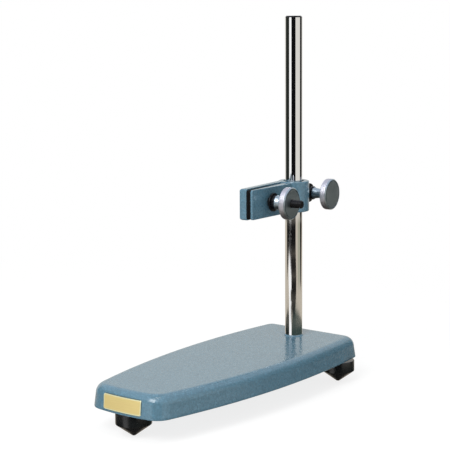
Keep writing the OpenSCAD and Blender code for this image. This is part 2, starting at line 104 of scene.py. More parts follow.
def fillet(points, steps=5, closed=False):
    """Polyline of (a, b, radius); each corner with a radius becomes an arc."""
    n, out = len(points), []
    for i, (a, b, *rest) in enumerate(points):
        r = rest[0] if rest else 0
        if r <= 0 or (not closed and i in (0, n - 1)):
            out.append((a, b))
            continue
        p, q, s = Vector((a, b)), Vector(points[i - 1][:2]), Vector(points[(i + 1) % n][:2])
        u, v = (q - p), (s - p)
        lu, lv = u.length, v.length
        u, v = u / lu, v / lv
        half = math.acos(max(-1, min(1, u.dot(v)))) / 2
        t = min(r / math.tan(half), 0.49 * lu, 0.49 * lv)
        r = t * math.tan(half)
        c = p + (u + v).normalized() * (r / math.sin(half))
        start, end = p + u * t - c, p + v * t - c
        w = math.pi - 2 * half
        for k in range(steps + 1):
            f = k / steps
            d = (start * math.sin((1 - f) * w) + end * math.sin(f * w)) / math.sin(w)
            out.append(tuple(c + d))
    return out


def edges_by_angle(obj, sharp=32):
    """Smooth shading, with edges sharper than the angle in degrees left crisp."""
    obj.data.shade_smooth()
    obj.data.set_sharp_from_angle(angle=math.radians(sharp))


def finish_mesh(name, bm, matrix=None, sharp=32):
    """Turns a bmesh into an object in the scene."""
    bmesh.ops.remove_doubles(bm, verts=bm.verts, dist=1e-7)
    bmesh.ops.recalc_face_normals(bm, faces=bm.faces)
    mesh = bpy.data.meshes.new(name)
    bm.to_mesh(mesh)
    bm.free()
    obj = bpy.data.objects.new(name, mesh)
    edges_by_angle(obj, sharp)
    bpy.context.scene.collection.objects.link(obj)
    if matrix is not None:
        obj.matrix_world = matrix
    return obj


def rings_bm(rings, wrap=False):
    """Closed skin through rings of points, in millimetres."""
    bm = bmesh.new()
    rows = [[bm.verts.new(Vector(p) * MM) for p in ring] for ring in rings]
    n = len(rows[0])
    pairs = list(zip(rows, rows[1:]))
    if wrap:
        pairs.append((rows[-1], rows[0]))
    for low, high in pairs:
        for i in range(n):
            j = (i + 1) % n
            bm.faces.new((low[i], low[j], high[j], high[i]))
    if not wrap:
        bm.faces.new(rows[0])
        bm.faces.new(rows[-1])
    return bm


def lathe_bm(profile, steps=128, wrap=False):
    """Round solid from (radius, height) points; a radius of 0 is a pole."""
    tiny = 1e-4
    turns = [2 * math.pi * k / steps for k in range(steps)]
    rings = [[(*on_circle(max(r, tiny), turn), z) for turn in turns] for r, z in profile]
    return rings_bm(rings, wrap=wrap)


def lathe(name, profile, matrix=None, steps=128, wrap=False, sharp=32):
    return finish_mesh(name, lathe_bm(profile, steps, wrap), matrix, sharp)


def settle(obj):
    """Replaces an object's mesh by the result of its modifiers."""
    bpy.context.view_layer.update()
    dg = bpy.context.evaluated_depsgraph_get()
    mesh = bpy.data.meshes.new_from_object(obj.evaluated_get(dg))
    obj.modifiers.clear()
    obj.data = mesh


def combine(target, tools, operation):
    """Joins the tools to the target or cuts them out of it, and deletes them."""
    for tool in tools:
        m = target.modifiers.new(operation, "BOOLEAN")
        m.operation, m.solver, m.object = operation, "EXACT", tool
    settle(target)
    for tool in tools:
        bpy.data.objects.remove(tool)


def box_tool(x0, x1, y0, y1, z0, z1, matrix=None):
    rings = [[(x0, y0, z), (x1, y0, z), (x1, y1, z), (x0, y1, z)] for z in (z0, z1)]
    return finish_mesh("tool", rings_bm(rings), matrix)


def rod_tool(r, z0, z1, matrix=None, steps=96):
    return lathe("tool", [(r, z0), (r, z1)], matrix, steps)


# Materials


class Nodes:
    """Short way to write a node tree."""

    def __init__(self, tree):
        self.tree = tree
        tree.nodes.clear()

    def put(self, node, socket, value):
        target = node.inputs[socket]
        if isinstance(value, bpy.types.NodeSocket):
            self.tree.links.new(value, target)
        else:
            target.default_value = value

    def math(self, operation, a, b=0.0):
        node = self.tree.nodes.new("ShaderNodeMath")
        node.operation = operation
        self.put(node, 0, a)
        self.put(node, 1, b)
        return node.outputs[0]

    def vector(self, operation, a, b=(0, 0, 0)):
        node = self.tree.nodes.new("ShaderNodeVectorMath")
        node.operation = operation
        self.put(node, 0, a)
        self.put(node, 1, b)
        return node.outputs["Value" if operation in ("DOT_PRODUCT", "LENGTH") else "Vector"]

    def noise(self, vector, scale, detail=2.0, rough=0.5):
        node = self.tree.nodes.new("ShaderNodeTexNoise")
        self.put(node, "Vector", vector)
        self.put(node, "Scale", scale)
        self.put(node, "Detail", detail)
        self.put(node, "Roughness", rough)
        return node.outputs[0]

    def cells(self, vector, scale, smooth):
        node = self.tree.nodes.new("ShaderNodeTexVoronoi")
        node.feature = "SMOOTH_F1"
        self.put(node, "Vector", vector)
        self.put(node, "Scale", scale)
        self.put(node, "Smoothness", smooth)
        return node.outputs["Distance"]

    def remap(self, value, a, b, c=0.0, d=1.0):
        node = self.tree.nodes.new("ShaderNodeMapRange")
        node.clamp = True
        for i, x in enumerate((value, a, b, c, d)):
            self.put(node, i, x)
        return node.outputs[0]

    def mix(self, factor, a, b):
        node = self.tree.nodes.new("ShaderNodeMix")
        node.data_type = "RGBA"
        self.put(node, 0, factor)
        self.put(node, 6, a)
        self.put(node, 7, b)
        return node.outputs[2]

    def bump(self, height, distance, strength, normal=None):
        node = self.tree.nodes.new("ShaderNodeBump")
        self.put(node, "Height", height)
        self.put(node, "Distance", distance)
        self.put(node, "Strength", strength)
        if normal is not None:
            self.put(node, "Normal", normal)
        return node.outputs[0]

    def coords(self):
        return self.tree.nodes.new("ShaderNodeTexCoord").outputs["Object"]

    def mix_shader(self, factor, a, b):
        node = self.tree.nodes.new("ShaderNodeMixShader")
        self.put(node, 0, factor)
        self.tree.links.new(a, node.inputs[1])
        self.tree.links.new(b, node.inputs[2])
        return node.outputs[0]


def rgba(c):
    return (c[0], c[1], c[2], 1.0)


def shade(c, k):
    return rgba([x * k for x in c])


def new_material(name, **sockets):
    mat = bpy.data.materials.new(name)
    mat.use_nodes = True
    n = Nodes(mat.node_tree)
    out = mat.node_tree.nodes.new("ShaderNodeOutputMaterial")
    shader = mat.node_tree.nodes.new("ShaderNodeBsdfPrincipled")
    mat.node_tree.links.new(shader.outputs[0], out.inputs[0])
    for key, value in sockets.items():
        n.put(shader, key.replace("_", " "), value)
    return mat, n, shader


def enamel():
    """Blue-grey hammered enamel with a fine dark and light grain."""
    base = (0.104, 0.216, 0.292)
    mat, n, s = new_material("hammered_enamel", Coat_Weight=0.45, Coat_Roughness=0.08)
    p = n.coords()
    peel = n.noise(p, 330, 1.5, 0.45)
    hammer = n.cells(p, 470, smooth=0.6)
    grain = n.noise(p, 620, 2.0, 0.6)
    fleck = n.remap(grain, 0.44, 0.6)
    cloud = n.noise(p, 28, 2.0)
    tone = n.mix(fleck, shade(base, 0.84), shade(base, 1.2))
    tone = n.mix(n.remap(hammer, 0.25, 0.75, 0.0, 0.7), tone, shade(base, 0.8))
    tone = n.mix(n.remap(cloud, 0.35, 0.7, 0.0, 0.25), tone, shade(base, 1.1))
    n.put(s, "Base Color", tone)
    n.put(s, "Roughness", n.remap(hammer, 0.2, 0.8, 0.24, 0.36))
    first = n.bump(peel, 0.00026, 0.55)
    second = n.bump(hammer, 0.0001, 0.5, first)
    n.put(s, "Normal", second)
    n.put(s, "Coat Normal", second)
    return mat


def chrome():
    """Polished hard chrome with a trace of haze."""
    mat, n, s = new_material("hard_chrome", Metallic=1.0)
    p = n.coords()
    haze = n.noise(p, 45, 3.0)
    n.put(s, "Base Color", n.mix(haze, (0.80, 0.80, 0.80, 1), (0.86, 0.86, 0.87, 1)))
    n.put(s, "Roughness", n.remap(haze, 0.3, 0.7, 0.03, 0.06))
    n.put(s, "Normal", n.bump(n.noise(p, 60, 1.0), 0.00002, 0.5))
    return mat


def turned(name, colour, low, high):
    """Satin turned metal; its ring marks run round the piece's own Z axis."""
    spacing, cut = 0.00028, 0.000012
    mat, n, s = new_material(name, Metallic=1.0)
    p = n.coords()
    flat = n.vector("MULTIPLY", p, (1, 1, 0))
    radius = n.vector("LENGTH", flat)
    wave = n.math("SINE", n.math("MULTIPLY", radius, 2 * math.pi / spacing))
    fine = n.noise(p, 2200, 2.0, 0.6)
    cloud = n.noise(p, 120, 2.0)
    n.put(s, "Base Color", n.mix(fine, shade(colour, 0.9), shade(colour, 1.06)))
    n.put(s, "Roughness", n.remap(cloud, 0.3, 0.7, low, high))
    first = n.bump(wave, cut, 0.5)
    n.put(s, "Normal", n.bump(fine, 0.00003, 0.6, first))
    return mat


def plain_metal(name, colour, low, high, scale=300, metal=1.0):
    """Metal without a grain; its roughness runs from low to high."""
    mat, n, s = new_material(name, Metallic=metal)
    p = n.coords()
    cloud, fine = n.noise(p, scale * 0.3, 2.0), n.noise(p, scale * 5, 2.0)
    n.put(s, "Base Color", n.mix(cloud, shade(colour, 0.85), shade(colour, 1.1)))
    n.put(s, "Roughness", n.remap(fine, 0.3, 0.7, low, high))
    n.put(s, "Normal", n.bump(fine, 0.00002, 0.5))
    return mat


def moulded(name, colour, low, high, scale, depth, **sockets):
    """Moulded rubber; the scale is that of its fine bumps, the depth their height in metres."""
    mat, n, s = new_material(name, **sockets)
    p = n.coords()
    fine, cloud = n.noise(p, scale, 2.0, 0.55), n.noise(p, scale * 0.12, 2.0)
    n.put(s, "Base Color", n.mix(cloud, shade(colour, 0.8), shade(colour, 1.3)))
    n.put(s, "Roughness", n.remap(fine, 0.3, 0.7, low, high))
    n.put(s, "Normal", n.bump(fine, depth, 0.6))
    return mat


def gold_foil():
    """Blank gold plate, pale along its edge and brushed along its length."""
    mat, n, s = new_material("gold_foil", Metallic=0.25)
    p = n.coords()
    sep = n.tree.nodes.new("ShaderNodeSeparateXYZ")
    n.put(sep, 0, p)
    edge_x = n.math("SUBTRACT", PLATE_LENGTH / 2 * MM, n.math("ABSOLUTE", sep.outputs[0]))
    above_mid = n.math("SUBTRACT", sep.outputs[2], PLATE_MID * MM)
    edge_z = n.math("SUBTRACT", PLATE_HEIGHT / 2 * MM, n.math("ABSOLUTE", above_mid))
    near = n.math("MINIMUM", edge_x, edge_z)
    rim = n.remap(near, 0.0009, 0.00115, 1.0, 0.0)
    line = n.remap(near, 0.00018, 0.0003, 1.0, 0.0)
    streak = n.noise(n.vector("MULTIPLY", p, (60, 400, 2600)), 1.0, 3.0)
    dull, bright = (0.74, 0.58, 0.225), (0.86, 0.70, 0.305)
    border, outer_line = (0.80, 0.80, 0.52), (0.06, 0.07, 0.05)
    framed = n.mix(rim, n.mix(streak, rgba(dull), rgba(bright)), rgba(border))
    n.put(s, "Base Color", n.mix(line, framed, rgba(outer_line)))
    n.put(s, "Roughness", n.remap(streak, 0.3, 0.7, 0.3, 0.42))
    n.put(s, "Normal", n.bump(streak, 0.00002, 0.4))
    return mat


ENAMEL = enamel()
CHROME = chrome()
SATIN = turned("satin_knob", (0.46, 0.545, 0.595), 0.33, 0.43)
KNURL = plain_metal("knurled_rim", (0.64, 0.63, 0.685), 0.36, 0.5, 600)
# Near-black metal that stands for the dark surroundings mirrored in the column's top chamfer: a painted dark
# reflection.
CHAMFER_DARK_REFLECTION = plain_metal("painted_dark_reflection", (0.03, 0.03, 0.032), 0.3, 0.42, 600)
BLACK = plain_metal("black_oxide", (0.012, 0.012, 0.014), 0.2, 0.32, metal=0.5)
STEEL = plain_metal("plated_steel", (0.52, 0.53, 0.55), 0.24, 0.36)
BRONZE = plain_metal("bearing_bronze", (0.50, 0.33, 0.16), 0.3, 0.42)
RUBBER = moulded("glossy_rubber", (0.008, 0.0085, 0.009), 0.16, 0.3, 900, 0.00003, Specular_IOR_Level=0.5)
PAD = moulded("sheet_rubber", (0.004, 0.004, 0.0045), 0.62, 0.82, 1600, 0.00005, Specular_IOR_Level=0.15)
GOLD = gold_foil()
SLOTS = {
    "paint": ENAMEL, "chrome": CHROME, "knob_metal": SATIN, "black_steel": BLACK, "steel": STEEL,
    "bronze": BRONZE, "rubber": RUBBER, "pad_rubber": PAD, "plate_metal": GOLD,
}


def dress(obj, body, slot, *nodes):
    """Gives a piece its finish and its body, and hides the CAD nodes that it stands for."""
    obj.data.materials.clear()
    obj.data.materials.append(SLOTS[slot])
    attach(obj, body)
    if nodes:
        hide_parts(*nodes)


# Base


def arc(x, y, r, a, b, steps, ends=True):
    """Points on an arc round x, y from turn a to turn b."""
    ks = range(steps + 1) if ends else range(1, steps)
    turns = [a + (b - a) * k / steps for k in ks]
    return [(x + r * math.cos(turn), y + r * math.sin(turn)) for turn in turns]


def outline(d, z, front_steps=8, corner_steps=18, side_steps=54):
    """Outline of the base at height z, drawn in by d: bowed front, front corner, bowed side, rear corner."""
    side_x, side_r = BASE_WIDTH / 2 - SIDE_BOW, SIDE_BOW - d
    front_cy, front_r = FRONT_LINE + FRONT_BOW, FRONT_BOW - d
    grown = CORNER_GROWTH * (z - UNDERSIDE) - d
    rf, rr = max(FRONT_CORNER + grown, LEAST_CORNER), max(REAR_CORNER + grown, LEAST_CORNER)
    gap = Vector((side_x, WIDEST_Y - front_cy))
    a, b, span = front_r - rf, side_r - rf, gap.length
    along = (a * a - b * b + span * span) / (2 * span)
    off = math.sqrt(a * a - along * along)
    u = gap / span
    cx, cy = along * u.x - off * u.y, front_cy + along * u.y + off * u.x
    front_end, side_start = math.atan2(cy - front_cy, cx), math.asin((cy - WIDEST_Y) / (side_r - rf))
    ry = REAR_Y - d - rr
    ra = math.asin((ry - WIDEST_Y) / (side_r - rr))
    right = arc(0, front_cy, front_r, -math.pi / 2, front_end, front_steps)[:-1]
    right += arc(cx, cy, rf, front_end, side_start, corner_steps)
    right += arc(side_x, WIDEST_Y, side_r, side_start, ra, side_steps, ends=False)
    right += arc(side_x + (side_r - rr) * math.cos(ra), ry, rr, ra, math.pi / 2, corner_steps)
    return right + [(-x, y) for x, y in reversed(right[1:])]


def wall_inset(z):
    """How far the front wall lies behind the base's front line at height z."""
    lean = DRAFT * (WALL_TOP - UNDERSIDE)
    if z <= WALL_TOP:
        return lean * max(0.0, z - UNDERSIDE - 1) / (WALL_TOP - UNDERSIDE - 1)
    a = math.asin(min(1.0, (z - WALL_TOP) / EDGE_ROUND))
    return lean + EDGE_ROUND * (1 - math.cos(a))


def base_profile():
    """Inset and height of each ring of the base, from the top over the edge and up into the hollow."""
    lean = DRAFT * (WALL_TOP - UNDERSIDE)
    steps = 20
    over = [(lean + EDGE_ROUND * (1 - math.cos(a)), WALL_TOP + EDGE_ROUND * math.sin(a))
            for a in (math.pi / 2 * k / steps for k in range(steps, -1, -1))]
    rows = [(lean + EDGE_ROUND + 14, BASE_TOP), (lean + EDGE_ROUND + 1.5, BASE_TOP)] + over
    rows += [(wall_inset(26), 26.0)]
    low, outer_round, inner_round = 22.5, 0.9, 0.6
    rows += fillet([(wall_inset(low), low), (0, UNDERSIDE, outer_round),
                    (BASE_WALL, UNDERSIDE, inner_round), (BASE_WALL + 0.2, low)], 5)
    hollow, hollow_round = BASE_WALL + DRAFT * (CEILING - UNDERSIDE), 4.0
    rows += fillet([(BASE_WALL + 0.5, 27.0), (hollow, CEILING, hollow_round), (hollow + 9, CEILING)], 8)
    return rows


def boss_tool(x, y, r, bottom, top, edge, steps):
    """Round boss under the ceiling of the hollow, its lower edge rounded."""
    profile = fillet([(0.0, bottom), (r, bottom, edge), (r, top), (0.0, top)], 4)
    return lathe("tool", profile, upright(x, y), steps)


def make_base():
    """The casting, with its ribs, bosses and bores, and the ring of paint round the column's foot."""
    rings = [[(x, y, z) for x, y in outline(d, z)] for d, z in base_profile()]
    base = finish_mesh("base_form", rings_bm(rings))
    tools = [box_tool(-RIB_HALF, RIB_HALF, FRONT_Y + 3, REAR_Y - 3, RIB_LOW, RIB_HIGH)]
    for y, setback in RIBS:
        half = BASE_WIDTH / 2 - setback
        tools.append(box_tool(-half, half, y - RIB_HALF, y + RIB_HALF, RIB_LOW, RIB_HIGH))
    column_boss_top, foot_boss_top = 36.0, 35.0
    tools.append(boss_tool(0, COLUMN_Y, BOSS_R, BOSS_BOTTOM, column_boss_top, 1.2, 96))
    tools += [boss_tool(x, y, FOOT_BOSS_R, UNDERSIDE, foot_boss_top, 0.6, 72) for x, y in FEET.values()]
    combine(base, tools, "UNION")
    at = upright(0, COLUMN_Y)
    below, bolt_from, bore_top, above = 5, 10, 32, 60
    holes = [rod_tool(COLUMN_R + COLUMN_PLAY, COLUMN_SEAT, above, at)]
    holes.append(rod_tool(BOLT_BORE_R, bolt_from, bore_top, at))
    holes.append(rod_tool(BOLT_HEAD_R, below, BOSS_BOTTOM, at))
    holes += [rod_tool(STUD_BORE_R, below, bore_top, upright(x, y), 48) for x, y in FEET.values()]
    combine(base, holes, "DIFFERENCE")
    edges_by_angle(base, 30)
    # No glossy ray meets the base; dark cards in the studio below stand for it.
    base.visible_glossy = False
    dress(base, "stand", "paint", "base_casting")
    inner, foot, top = 8.06, 39.8, 40.7
    ring = fillet([(inner, foot), (inner, top), (8.9, top, 0.5), (9.4, BASE_TOP, 0.4), (10.4, foot)], 6)
    ring = lathe("column_ring", ring + [(8.4, foot - 0.1)], at, 128, wrap=True)
    dress(ring, "stand", "paint")


def front_line(x, inset):
    """Y of the front wall's face at x, where the wall lies back by inset."""
    return FRONT_LINE + FRONT_BOW - math.sqrt((FRONT_BOW - inset) ** 2 - x * x)


def make_plate():
    """Thin plate that follows the front wall up over its rounding."""
    r, cols, arc_steps, straight, straight_steps = PLATE_HEIGHT / 6, 48, 6, 4.4, 16
    half_l, half_h = PLATE_LENGTH / 2, PLATE_HEIGHT / 2
    edge_lift, edge_shrink = 0.42, 0.08
    heights = [half_h - r * (1 - math.cos(math.pi / 2 * k / arc_steps)) for k in range(arc_steps + 1)]
    heights += [-h for h in heights]
    heights += [-straight + 2 * straight * k / straight_steps for k in range(straight_steps + 1)]
    heights = sorted({round(h, 5) for h in heights})
    sheets = []
    for lift in (0.0, edge_lift, PLATE_THICK):
        shrink = edge_shrink if lift == PLATE_THICK else 0.0
        grid = []
        for h in heights:
            z = PLATE_MID + h * (1 - shrink / half_h)
            d = max(0.0, abs(h) - (half_h - r))
            w = half_l - shrink - (r - math.sqrt(max(0.0, r * r - d * d)))
            slope = (wall_inset(z + 0.05) - wall_inset(z - 0.05)) / 0.1
            length = math.hypot(1, slope)
            out, up = lift / length, lift * slope / length
            xs = [w * (2 * k / cols - 1) for k in range(cols + 1)]
            grid.append([(x, front_line(x, wall_inset(z)) - out, z + up) for x in xs])
        sheets.append(grid)
    bm = bmesh.new()
    v = [[[bm.verts.new(Vector(p) * MM) for p in row] for row in grid] for grid in sheets]
    last_r, last_c = len(heights) - 1, cols
    for sheet in (v[0], v[2]):
        for a, b in zip(sheet, sheet[1:]):
            for i in range(cols):
                bm.faces.new((a[i], a[i + 1], b[i + 1], b[i]))
    loop = [(i, 0) for i in range(last_r)] + [(last_r, j) for j in range(last_c)]
    loop += [(i, last_c) for i in range(last_r, 0, -1)] + [(0, j) for j in range(last_c, 0, -1)]
    for low, high in zip(v, v[1:]):
        for k, (i, j) in enumerate(loop):
            i2, j2 = loop[(k + 1) % len(loop)]
            bm.faces.new((low[i][j], low[i2][j2], high[i2][j2], high[i][j]))
    dress(finish_mesh("front_plate", bm, sharp=50), "stand", "plate_metal", "name_plate")


def make_column():
    """Chromed bar with a centre hole on top; its sloping top faces, the chamfer and the hole's countersink,
    are painted near-black as a painted dark reflection.
    """
    bore, bore_top, foot_round, rim_round = 4.0, COLUMN_SEAT + 19, 0.4, 0.15
    centre, centre_lip, shoulder = 1.0, 1.9, COLUMN_TOP - COLUMN_CHAMFER
    # Loops near both ends keep the smooth shading of the long wall level.
    wall = [(COLUMN_R, z) for z in (COLUMN_SEAT + 1.5, 120, 240, COLUMN_TOP - 2.2)]
    bar = [(0, bore_top), (bore, bore_top), (bore, COLUMN_SEAT), (COLUMN_R, COLUMN_SEAT, foot_round)] + wall
    bar += [(COLUMN_R, shoulder, rim_round), (COLUMN_R - COLUMN_CHAMFER, COLUMN_TOP, rim_round),
            (centre_lip, COLUMN_TOP, rim_round), (centre, COLUMN_TOP - 1.0), (centre, COLUMN_TOP - 2.5),
            (0, COLUMN_TOP - 3.1)]
    column = lathe("column_bar", fillet(bar, 6), upright(0, COLUMN_Y), 192)
    dress(column, "stand", "chrome", "column")
    # The sloping faces on top get the near-black metal in place of chrome, a painted dark reflection.
    column.data.materials.append(CHAMFER_DARK_REFLECTION)
    for face in column.data.polygons:
        if face.center.z > (shoulder - 0.05) * MM and 0.3 < face.normal.z < 0.9:
            face.material_index = 1


def make_feet():
    """Rubber cones with a blunt point, hollow for the plate and stud."""
    point_r = 1.5
    for name, (x, y) in FEET.items():
        foot = [(0, 0), (point_r, 0, 0.5), (FOOT_R, FOOT_POINT, 0.7), (FOOT_R, UNDERSIDE, 0.8),
                (STUD_BORE_R, UNDERSIDE), (STUD_BORE_R, FOOT_BORE_TOP), (0, FOOT_BORE_TOP)]
        piece = lathe("rubber_" + name, fillet(foot, 5), upright(x, y), 128, sharp=40)
        dress(piece, "stand", "rubber", name)


def make_stand():
    make_base()
    make_plate()
    make_column()
    make_feet()


# Clamp


def soften(name, node, voxel, cuts=()):
    """Thickly painted casting: the CAD solid less the cuts, with its edges and inner corners rounded."""
    bm = bmesh.new()
    bm.from_mesh(NODES[node].data)
    bm.transform(CLAMP.inverted())
    obj = finish_mesh(name, bm)
    if cuts:
        combine(obj, cuts, "DIFFERENCE")
    m = obj.modifiers.new("skin", "REMESH")
    m.mode, m.voxel_size, m.adaptivity = "VOXEL", voxel * MM, 0.0
    m.use_smooth_shade = True
    m = obj.modifiers.new("soft", "SMOOTH")
    m.factor, m.iterations = 0.5, SMOOTHINGS
    settle(obj)
    obj.data.shade_smooth()
    obj.matrix_world = CLAMP
    return obj


def rounded_outline(y0, y1, z0, z1, r, d=0.0, steps=6):
    """Rounded rectangle in Y and Z, drawn in by d."""
    r = max(r - d, 0.15)
    corners = [(y0 + d, z0 + d, r), (y1 - d, z0 + d, r), (y1 - d, z1 - d, r), (y0 + d, z1 - d, r)]
    return fillet(corners, steps, closed=True)


def make_pad(name, x0, body, node):
    """Sheet rubber pad from x0 outwards, its edges rounded and a hole in it for the jaw screw."""
    x1, soft, steps = x0 + PAD_THICK, 0.22, 4
    turns = [math.pi / 2 * k / steps for k in range(steps + 1)]
    depths = [(x0 + soft * (1 - math.cos(a)), soft * (1 - math.sin(a))) for a in turns]
    depths += [(x1 - soft * (1 - math.cos(a)), soft * (1 - math.sin(a))) for a in reversed(turns)]
    h, corner, hole, clear = (JAW_HEIGHT - 1) / 2, 2.0, 4.1, 8
    loops = []
    for x, d in depths:
        loops.append([(x, y, z) for y, z in rounded_outline(-JAW_REACH, -PAD_END, -h, h, corner, d)])
    pad = finish_mesh(name, rings_bm(loops), CLAMP)
    combine(pad, [rod_tool(hole, -clear, clear, across(x0, JAW_SCREW_Y), 64)], "DIFFERENCE")
    edges_by_angle(pad, 32)
    dress(pad, body, "pad_rubber", node)


def tri(x):
    """Triangle wave from 0 to 1 with a period of 1."""
    return abs(2 * (x - math.floor(x + 0.5)))


def knurled_band(name, matrix, z0, z1, r, inner, depth=0.15, count=84, pitch=1.08, per=6):
    """Ring with a fine crossed knurl."""
    segs, rows = count * per, int(round((z1 - z0) / pitch * per))
    turns = [2 * math.pi * k / segs for k in range(segs)]
    rings = [[(*on_circle(inner, turn), z) for turn in turns] for z in (z1, z0)]
    for i in range(rows + 1):
        z = z0 + (z1 - z0) * i / rows
        fade = min(1.0, i / 3, (rows - i) / 3)
        ring = []
        for k, turn in enumerate(turns):
            u, w = k / per, (z - z0) / pitch
            h = min(tri(u + w), tri(u - w))
            ring.append((*on_circle(r - depth * (1 - min(1.0, 1.35 * h) * fade), turn), z))
        rings.append(ring)
    return finish_mesh(name, rings_bm(rings, wrap=True), matrix, sharp=60)


def knob_profile(r, bore, blind, neck_r, neck):
    """Waisted neck, disc, bright chamfer and the groove just inside it."""
    waist, waist_steps, end = 0.85, 12, neck + KNOB_DISC
    face, flank, lip, groove, groove_floor = end - 0.03, r - 0.2, r - 1.3, r - 2.05, end - 0.9
    out = fillet([(bore, 0.25), (bore + 0.25, 0), (neck_r, 0, 0.3), (neck_r, 0.9, 0.3)], 4)
    for k in range(waist_steps + 1):
        t = k / waist_steps
        out.append((neck_r - waist * math.sin(math.pi * t), 1.0 + (neck - 2.0) * t))
    out += fillet([(neck_r, neck - 0.8), (neck_r, neck, 0.7), (r - 0.3, neck, 0.2), (flank, neck + 0.3),
                   (flank, end - 1.15), (r - 0.06, end - 1.1), (r, end - 0.95), (r - 0.9, end, 0.3),
                   (lip, end, 0.1), (lip - 0.05, groove_floor), (groove, groove_floor),
                   (groove - 0.05, face, 0.1)], 5)
    if blind:
        socket = 10.05
        return [(0, socket), (bore, socket)] + out + [(4.0, face), (0, face)]
    return out + fillet([(bore + 1.6, face), (bore + 0.5, face, 0.2), (bore, end - 0.5)], 3)


def make_knob(prefix, x, y, body, r, bore, blind, neck_r, neck, node):
    """Turned knob and, as a second piece, the knurled band round its disc."""
    matrix = across(x, y)
    profile = knob_profile(r, bore, blind, neck_r, neck)
    knob = lathe(prefix + "_turned", profile, matrix, 144, wrap=not blind, sharp=38)
    dress(knob, body, "knob_metal", node)
    band = knurled_band(prefix + "_knurl", matrix, neck + 0.2, neck + KNOB_DISC - 1.05, r, r - 1.2)
    dress(band, body, "knob_metal")
    band.data.materials[0] = KNURL


def ring_piece(node, x, y, outer, inner, thick, body):
    """Black washer or collar that starts at x."""
    profile = [(inner, 0, 0.15), (outer, 0, 0.25), (outer, thick, 0.25), (inner, thick, 0.15)]
    ring = lathe("black_" + node, fillet(profile, 4, closed=True), across(x, y), 96, wrap=True)
    dress(ring, body, "black_steel", node)


def threaded(name, matrix, length, r, plain, pitch=1.0, depth=0.42, segs=48, per=8, end=0.7):
    """Screw from z 0 to length; the thread starts at plain and runs to a pointed-off end."""
    rows = [(0.0, 0), (plain - 0.6, 0)]
    count = int((length - plain) / pitch * per)
    rows += [(plain + (length - plain) * k / count, 1) for k in range(count + 1)]
    rings = []
    for z, cut in rows:
        fade = min(1.0, max(0.0, (z - plain) / pitch)) * cut
        tip = max(0.0, end - (length - z))
        ring = []
        for k in range(segs):
            groove = depth * fade * min(1.0, 1.25 * tri(z / pitch - k / segs))
            ring.append((*on_circle(min(r - groove, r - tip), 2 * math.pi * k / segs), z))
        rings.append(ring)
    return finish_mesh(name, rings_bm(rings), matrix, sharp=38)


def make_moving_jaw():
    """The wedge, cut flat along its outer face, and the black spacer under its washer."""
    tip_x, root_x, root_y = MOVING_FACE + 2.22, MOVING_FACE + 7.62, -14.9
    beyond, drift, clear = 2, 0.182, 20
    near, far = -JAW_REACH - beyond, root_y + beyond
    corners = [(tip_x - drift, near), (root_x + drift, far), (clear, far), (clear, near)]
    above = finish_mesh("tool", rings_bm([[(x, y, z) for x, y in corners] for z in (-clear, clear)]))
    dress(soften("wedge_jaw", "moving_jaw", JAW_VOXEL, [above]), "jaw", "paint", "moving_jaw")
    bore, outer, depth, rise = JAW_RING_BORE, 5.0, 2.9, 0.05
    spacer = fillet([(bore, -depth), (outer, -depth), (outer, rise, 0.3), (bore, rise)], 4)
    dress(lathe("jaw_spacer", spacer, across(JAW_SEAT, JAW_SCREW_Y), 96, wrap=True), "jaw", "black_steel")


def make_jaw_screw(start, stop):
    """Countersunk, slotted head in the back of the fixed jaw, and the thread that runs through both jaws."""
    head_r, cone, neck, plain = 6.5, 2.8, 3.4, 8.0
    slot_half, slot_depth, past_head, shank = 0.8, 1.4, 10, 3.2
    at = across(start, JAW_SCREW_Y)
    head = fillet([(0, 0), (head_r, 0, 0.15), (JAW_SCREW_R, cone), (JAW_SCREW_R, neck), (0, neck)], 3)
    head = lathe("jaw_screw_head", head, at, 96)
    slot = box_tool(-past_head, past_head, -slot_half, slot_half, -1, slot_depth, at)
    combine(head, [slot], "DIFFERENCE")
    edges_by_angle(head)
    dress(head, "clamp", "black_steel")
    length, begin = stop - start - shank, across(start + shank, JAW_SCREW_Y)
    screw = threaded("jaw_screw_thread", begin, length, JAW_SCREW_R, plain)
    dress(screw, "clamp", "black_steel", "jaw_screw")


